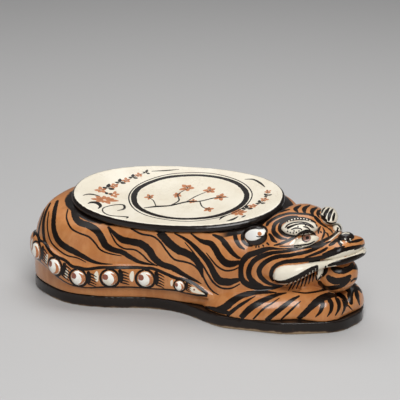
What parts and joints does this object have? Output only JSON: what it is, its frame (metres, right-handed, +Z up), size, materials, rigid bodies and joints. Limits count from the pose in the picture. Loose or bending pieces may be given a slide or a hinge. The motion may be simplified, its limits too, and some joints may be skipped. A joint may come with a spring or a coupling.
{
  "type": "ceramic pillow",
  "caption": "Glazed stoneware pillow shaped as a lying tiger with its head turned, carrying a dished oval headrest on its back.",
  "frame": {"origin": "on the underside of the base slab, below the middle of the oval headrest", "axes": "+X from the rump to the head, +Y to the tiger's left side, +Z up"},
  "size_m": [0.3608, 0.1599, 0.1176],
  "materials": {
    "ochre_glaze": "glossy",
    "black_glaze": "glossy",
    "white_slip": "glossy"
  },
  "bodies": {
    "root": {"base_slab": "black_glaze", "right_body_wall": "ochre_glaze", "left_body_wall": "ochre_glaze", "headrest_slab": "white_slip", "tail": "ochre_glaze", "tail_bosses": "white_slip", "right_foreleg": "ochre_glaze", "left_foreleg": "ochre_glaze", "right_paw": "ochre_glaze", "left_paw": "ochre_glaze", "head": "ochre_glaze", "lower_jaw": "ochre_glaze", "nose": "black_glaze", "right_ear": "white_slip", "left_ear": "white_slip", "right_brow": "white_slip", "left_brow": "white_slip", "right_eye": "white_slip", "left_eye": "white_slip", "right_lip": "white_slip", "left_lip": "white_slip", "right_fang": "white_slip", "left_fang": "white_slip"}
  },
  "joints": []
}
